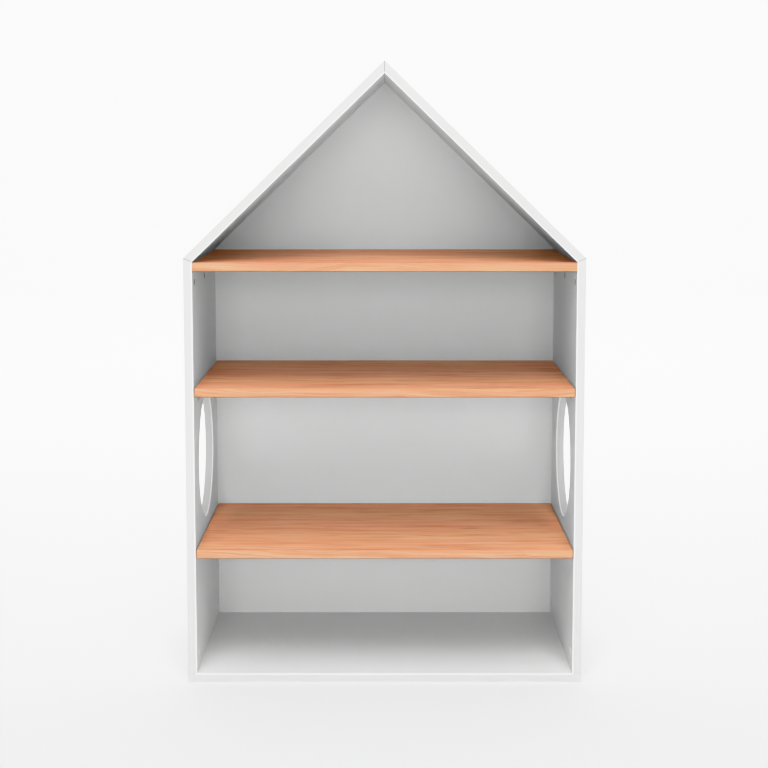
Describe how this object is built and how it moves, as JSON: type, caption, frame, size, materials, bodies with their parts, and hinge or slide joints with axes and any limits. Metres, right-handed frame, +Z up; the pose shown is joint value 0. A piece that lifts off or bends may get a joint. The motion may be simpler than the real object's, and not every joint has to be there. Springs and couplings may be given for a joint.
{
  "type": "house shaped bookcase",
  "caption": "House shaped bookcase for a child's room: gabled white case, open at the front, with wood shelves, a round window in each side and keyhole plates at the back.",
  "frame": {"origin": "on the floor, in the middle of the case's footprint", "axes": "+Z up, +Y from the open front towards the back panel, +X towards the right-hand side as seen from the front"},
  "size_m": [0.8, 0.43, 1.254],
  "materials": {
    "white_board": "satin white lacquer over board",
    "white_panel": "matt white lacquer over thin fibreboard",
    "shelf_board": "satin orange-brown wood, grain along the length",
    "support_metal": "satin nickel plated die casting",
    "cam_metal": "bare die cast zinc",
    "bolt_steel": "bright zinc plated",
    "screw_steel": "bright zinc plated",
    "white_plastic": "matt",
    "brown_plastic": "matt",
    "dowel_wood": "bare beech"
  },
  "bodies": {
    "carcass": {"floor_panel": "white_board", "left_side": "white_board", "right_side": "white_board", "left_roof": "white_board", "right_roof": "white_board", "back_panel": "white_panel", "top_shelf": "shelf_board", "middle_shelf_supports": "support_metal", "lower_shelf_supports": "support_metal", "floor_cams": "cam_metal", "floor_cam_caps": "white_plastic", "floor_cam_bolts": "bolt_steel", "floor_dowels": "dowel_wood", "eaves_cams": "cam_metal", "eaves_mitre_bolts": "bolt_steel", "eaves_dowels": "dowel_wood", "ridge_dowels": "dowel_wood", "top_shelf_cams": "cam_metal", "top_shelf_cam_caps": "brown_plastic", "top_shelf_bolts": "bolt_steel", "top_shelf_dowels": "dowel_wood", "back_panel_screws": "screw_steel", "wall_plates": "screw_steel", "wall_plate_screws": "screw_steel"},
    "middle_shelf": {"middle_shelf": "shelf_board"},
    "lower_shelf": {"lower_shelf": "shelf_board"}
  },
  "joints": [
    {"name": "middle_shelf_slide", "type": "slide", "parent": "carcass", "child": "middle_shelf", "axis": [0, -1, 0], "range_m": [0, 0.43]},
    {"name": "lower_shelf_slide", "type": "slide", "parent": "carcass", "child": "lower_shelf", "axis": [0, -1, 0], "range_m": [0, 0.43]}
  ]
}
